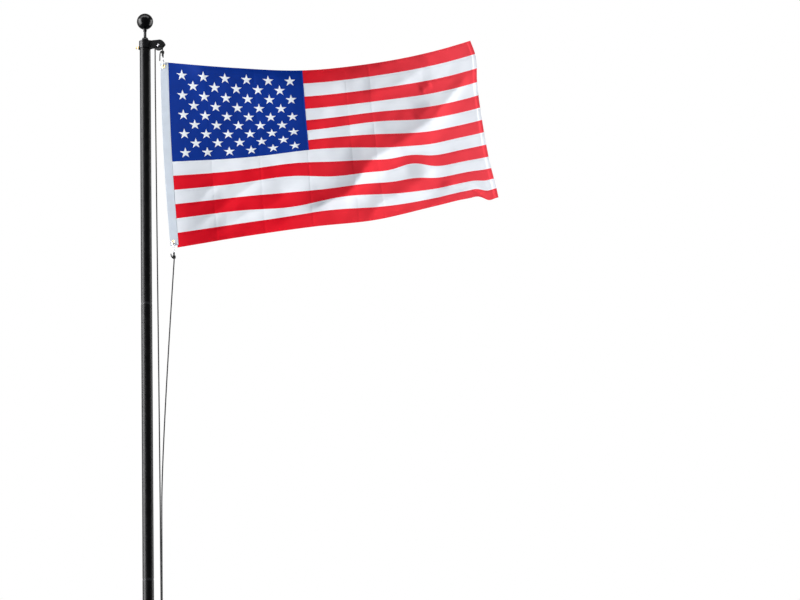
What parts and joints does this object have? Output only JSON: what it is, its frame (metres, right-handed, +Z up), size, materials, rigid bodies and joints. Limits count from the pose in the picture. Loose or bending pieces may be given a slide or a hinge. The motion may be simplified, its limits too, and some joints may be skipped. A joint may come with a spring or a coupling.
{
  "type": "flagpole",
  "caption": "Sectional black tube flagpole with ball finial, arm truck with pulley, halyard, cleat and striped flag on swivel snap hooks",
  "frame": {"origin": "centre of the pole's foot, on the flat end of the lowest tube", "axes": "+Z up along the pole, +X along the truck's arm and the flag's fly, -Y the side the picture is taken from"},
  "size_m": [1.7483, 0.0902, 6.4896],
  "materials": {
    "pole_paint": "satin black powder coat",
    "cast_paint": "black coat on cast aluminium",
    "ball_gloss": "gloss black",
    "black_plastic": "moulded black plastic",
    "bright_steel": "turned bright steel",
    "brass": "plain brass",
    "hook_metal": "dull nickel plate",
    "rope": "black braided polyester",
    "canvas": "white canvas",
    "flag_cloth": "woven nylon, red and white stripes and a blue canton with white stars"
  },
  "bodies": {
    "pole": {"pole_section_1": "pole_paint", "pole_section_2": "pole_paint", "pole_section_3": "pole_paint", "pole_section_4": "pole_paint", "pole_section_5": "pole_paint", "truck": "cast_paint", "thumb_screw": "brass", "axle_pin": "bright_steel", "finial_spindle": "cast_paint", "neck_nut": "cast_paint", "ball_lower": "ball_gloss", "ball_upper": "ball_gloss", "cleat": "cast_paint", "cleat_screw_lower": "bright_steel", "cleat_screw_upper": "bright_steel", "halyard_bight": "rope", "halyard_inner_fall": "rope", "halyard_winding": "rope"},
    "sheave": {"pulley": "black_plastic"},
    "hoist": {"knot_top": "rope", "knot_bottom": "rope", "hook_eye_top": "hook_metal", "hook_eye_bottom": "hook_metal", "halyard_top_run": "rope", "halyard_outer_fall": "rope"},
    "flag": {"hook_body_top": "hook_metal", "hook_body_bottom": "hook_metal", "gate_pin_top": "bright_steel", "gate_pin_bottom": "bright_steel", "flag_heading": "canvas", "flag_fly": "flag_cloth", "grommet_top": "brass", "grommet_bottom": "brass"},
    "gate_top": {"hook_gate_top": "hook_metal"},
    "gate_bottom": {"hook_gate_bottom": "hook_metal"}
  },
  "joints": [
    {"name": "pulley_spin", "type": "hinge", "parent": "pole", "child": "sheave", "pos_m": [0.0665, 0, 6.3234], "axis": [0, 1, 0], "continuous": true},
    {"name": "flag_hoist", "type": "slide", "parent": "pole", "child": "hoist", "axis": [0, 0, -1], "range_m": [0, 3.6], "deforming": ["halyard_top_run", "halyard_outer_fall"]},
    {"name": "flag_swing", "type": "hinge", "parent": "hoist", "child": "flag", "pos_m": [0.086, 0, 6.268], "axis": [-0.0472, 0, 0.9989], "range_deg": [-90, 90]},
    {"name": "gate_top_pivot", "type": "hinge", "parent": "flag", "child": "gate_top", "pos_m": [0.08699, 0.0058, 6.24702], "axis": [0.9989, 0, 0.0472], "range_deg": [-18, 0], "stiffness_Nm_per_rad": 0.01, "springref_deg": 17.19},
    {"name": "gate_bottom_pivot", "type": "hinge", "parent": "flag", "child": "gate_bottom", "pos_m": [0.13001, 0.0058, 5.33598], "axis": [0.9989, 0, 0.0472], "range_deg": [0, 18], "stiffness_Nm_per_rad": 0.01, "springref_deg": -17.19}
  ],
  "couplings": [
    {"joint": "pulley_spin", "follows": "flag_hoist", "rad_per_m": 55.556}
  ]
}
